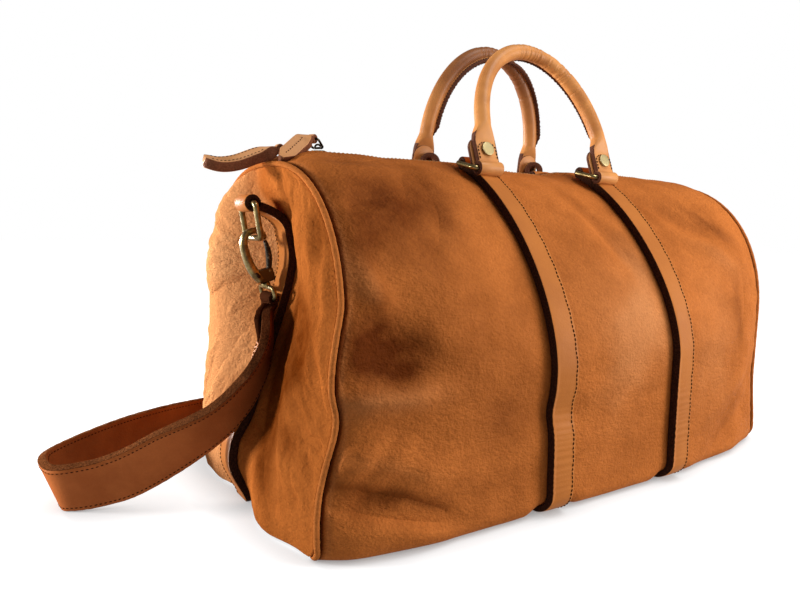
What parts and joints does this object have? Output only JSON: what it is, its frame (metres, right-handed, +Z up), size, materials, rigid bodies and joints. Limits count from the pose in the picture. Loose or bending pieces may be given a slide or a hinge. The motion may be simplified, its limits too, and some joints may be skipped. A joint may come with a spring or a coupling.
{
  "type": "travel bag",
  "caption": "Soft leather travel duffel with rolled handles on brass rings, straps round the body, a zipped top, piped ends and a clip-on shoulder strap lying behind it.",
  "frame": {"origin": "on the floor under the middle of the flat base panel", "axes": "+X along the bag to its right end, +Y to its back, +Z up"},
  "size_m": [0.7157, 0.327, 0.3896],
  "materials": {
    "leather": "satin, fine grain",
    "strap_leather": "satin, dark cut edges",
    "sling_leather": "satin, stitched along both edges",
    "brass": "antique, softly polished",
    "zip_cloth": "matt woven tape"
  },
  "bodies": {
    "bag": {"front_panel": "leather", "back_panel": "leather", "base_panel": "leather", "left_end_panel": "leather", "right_end_panel": "leather", "left_piping": "leather", "right_piping": "leather", "left_zip_tab": "leather", "right_zip_tab": "leather", "left_body_strap": "strap_leather", "right_body_strap": "strap_leather", "left_end_strap": "strap_leather", "right_end_strap": "strap_leather", "front_handle": "strap_leather", "back_handle": "strap_leather", "zip_pull_1": "strap_leather", "zip_pull_2": "strap_leather", "shoulder_strap": "sling_leather", "front_left_ring": "brass", "front_right_ring": "brass", "back_left_ring": "brass", "back_right_ring": "brass", "front_left_rivet": "brass", "front_right_rivet": "brass", "back_left_rivet": "brass", "back_right_rivet": "brass", "left_end_ring": "brass", "right_end_ring": "brass", "left_hook_body": "brass", "right_hook_body": "brass", "left_hook_swivel": "brass", "right_hook_swivel": "brass", "zip_chain": "brass", "zip_slider_1": "brass", "zip_slider_2": "brass", "zip_link_1": "brass", "zip_link_2": "brass", "zip_tape_front": "zip_cloth", "zip_tape_back": "zip_cloth"},
    "left_gate": {"left_hook_gate": "brass"},
    "right_gate": {"right_hook_gate": "brass"}
  },
  "joints": [
    {"name": "left_gate_hinge", "type": "hinge", "parent": "bag", "child": "left_gate", "pos_m": [-0.2406, 0, 0.17826], "axis": [0, -1, 0], "range_deg": [0, 25], "stiffness_Nm_per_rad": 0.05, "springref_deg": -17.19},
    {"name": "right_gate_hinge", "type": "hinge", "parent": "bag", "child": "right_gate", "pos_m": [0.2406, 0, 0.17826], "axis": [0, 1, 0], "range_deg": [0, 25], "stiffness_Nm_per_rad": 0.05, "springref_deg": -17.19}
  ]
}
